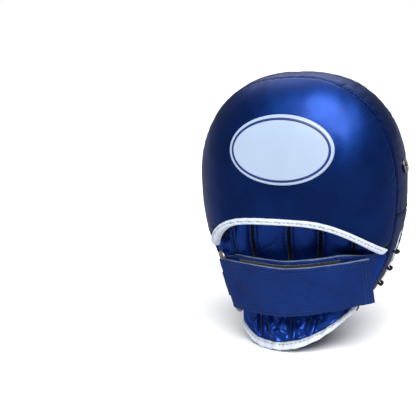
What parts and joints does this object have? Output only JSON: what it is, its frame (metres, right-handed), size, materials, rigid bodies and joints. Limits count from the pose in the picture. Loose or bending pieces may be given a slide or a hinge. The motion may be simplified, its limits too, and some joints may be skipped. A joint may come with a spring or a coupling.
{
  "type": "curved boxing focus mitt",
  "caption": "Domed blue leather striking mitt with a padded finger hood, ribbed palm, laced side band, vent eyelets and a hook-and-loop hand strap.",
  "frame": {"origin": "middle of the palm, between the hood's free edge and the strap, where the wearer's hand sits", "axes": "+Z towards the fingertips, -Y towards the striking face, +Y towards the hand side, +X towards the strap's ring"},
  "size_m": [0.2052, 0.1352, 0.2613],
  "materials": {
    "blue_leather": "metallic, fine grain",
    "strap_leather": "satin, fine grain",
    "white_leather": "satin",
    "label_white": "satin",
    "label_blue": "satin",
    "soft_foam": "matt foam",
    "dense_foam": "matt foam",
    "black_lining": "woven",
    "black_lace": "braided",
    "hook_and_loop": "napped",
    "nickel": "polished"
  },
  "bodies": {
    "root": {"front_cover": "blue_leather", "gusset_upper": "blue_leather", "gusset_lower": "blue_leather", "lace_tongue": "white_leather", "side_lace": "black_lace", "impact_foam": "soft_foam", "strike_foam": "dense_foam", "core_foam": "soft_foam", "back_foam": "soft_foam", "back_panel": "black_lining", "palm_pad": "black_lining", "wrist_lip": "blue_leather", "palm_rib_1": "blue_leather", "palm_rib_2": "blue_leather", "palm_rib_3": "blue_leather", "palm_rib_4": "blue_leather", "side_panel_left": "blue_leather", "side_panel_right": "blue_leather", "hood_cover": "blue_leather", "hood_foam": "soft_foam", "hood_lining": "black_lining", "hood_binding": "white_leather", "wrist_binding": "white_leather", "vent_eyelet_left": "nickel", "vent_eyelet_right": "nickel", "vent_washer_left": "nickel", "vent_washer_right": "nickel", "front_label": "label_white", "front_label_line": "label_blue", "back_label": "label_white", "back_label_line": "label_blue", "strap_inner": "strap_leather", "strap_loop_patch": "hook_and_loop", "ring_tab": "strap_leather"},
    "ring": {"strap_ring": "nickel", "strap_bight": "strap_leather"},
    "flap": {"strap_flap": "strap_leather", "strap_hook_patch": "hook_and_loop"}
  },
  "joints": [
    {"name": "ring_swing", "type": "hinge", "parent": "root", "child": "ring", "pos_m": [0.07184, -0.01543, -0.04995], "axis": [-0.2756, 0, -0.9613], "range_deg": [0, 20]},
    {"name": "flap_peel", "type": "hinge", "parent": "ring", "child": "flap", "pos_m": [0.06788, -0.00236, -0.04881], "axis": [-0.2756, 0, -0.9613], "range_deg": [0, 150]}
  ]
}
